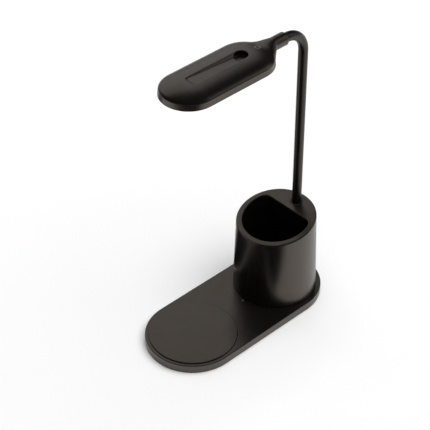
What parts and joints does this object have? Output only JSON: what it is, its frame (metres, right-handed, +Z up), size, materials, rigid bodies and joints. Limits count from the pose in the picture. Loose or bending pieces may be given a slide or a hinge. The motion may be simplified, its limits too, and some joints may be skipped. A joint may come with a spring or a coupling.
{
  "type": "desk lamp with pen holder",
  "caption": "Desk lamp: a bent stem that swivels in a pen cup carries a slim turning light head, over a flat base with a round charging pad.",
  "frame": {"origin": "on the table, under the middle of the base", "axes": "+X along the base from the charging pad to the pen cup, +Y to the back, +Z up"},
  "size_m": [0.1752, 0.08, 0.2575],
  "materials": {
    "shell_plastic": "satin moulded plastic, warm black",
    "under_plastic": "plain moulded plastic",
    "pad_face": "smooth semi-gloss face",
    "stem_paint": "satin black powder coat",
    "soft_rubber": "matt rubber",
    "screw_steel": "zinc plated",
    "ballast_iron": "bare plate",
    "copper_wire": "enamelled copper",
    "ferrite": "sintered ferrite",
    "board_resin": "solder mask",
    "light_board_white": "white solder mask on aluminium",
    "component_body": "moulded parts",
    "bearing_nylon": "dark nylon",
    "inlet_nylon": "black insert",
    "clear_lens": "milky light pipe",
    "milky_diffuser": "milky diffusing sheet",
    "light_chip": "phosphor under clear resin",
    "cable_jacket": "thin jacket",
    "plug_nylon": "natural nylon",
    "spring_steel": "bright wire"
  },
  "bodies": {
    "base": {"base_top_cover": "shell_plastic", "base_lower_cover": "under_plastic", "rubber_feet": "soft_rubber", "base_screws": "screw_steel", "charging_pad": "pad_face", "charging_coil": "copper_wire", "coil_return": "copper_wire", "ferrite_shield": "ferrite", "charger_board": "board_resin", "board_components": "component_body", "inlet_shell": "screw_steel", "inlet_tongue": "inlet_nylon", "indicator_lens": "clear_lens", "ballast_plate": "ballast_iron", "cup_shell": "shell_plastic", "cup_liner": "shell_plastic", "cup_screws": "screw_steel", "stem_bush": "bearing_nylon", "stem_socket": "bearing_nylon", "stem_washer": "bearing_nylon", "swivel_stop_screw": "screw_steel", "base_lead": "cable_jacket"},
    "arm": {"stem_tube": "stem_paint", "lamp_cable": "cable_jacket", "tube_grommet": "soft_rubber"},
    "head": {"head_shell": "shell_plastic", "head_bezel": "shell_plastic", "diffuser": "milky_diffuser", "light_board": "light_board_white", "light_chips": "light_chip", "head_screws": "screw_steel", "cable_plug": "plug_nylon", "touch_board": "board_resin", "touch_spring": "spring_steel", "turn_stop_screw": "screw_steel"}
  },
  "joints": [
    {"name": "arm_swivel", "type": "hinge", "parent": "base", "child": "arm", "pos_m": [0.0715, 0, 0.0077], "axis": [0, 0, 1], "range_deg": [-90, 90]},
    {"name": "head_turn", "type": "hinge", "parent": "arm", "child": "head", "pos_m": [0.04925, 0, 0.2519], "axis": [1, 0, 0], "range_deg": [-90, 90]}
  ]
}
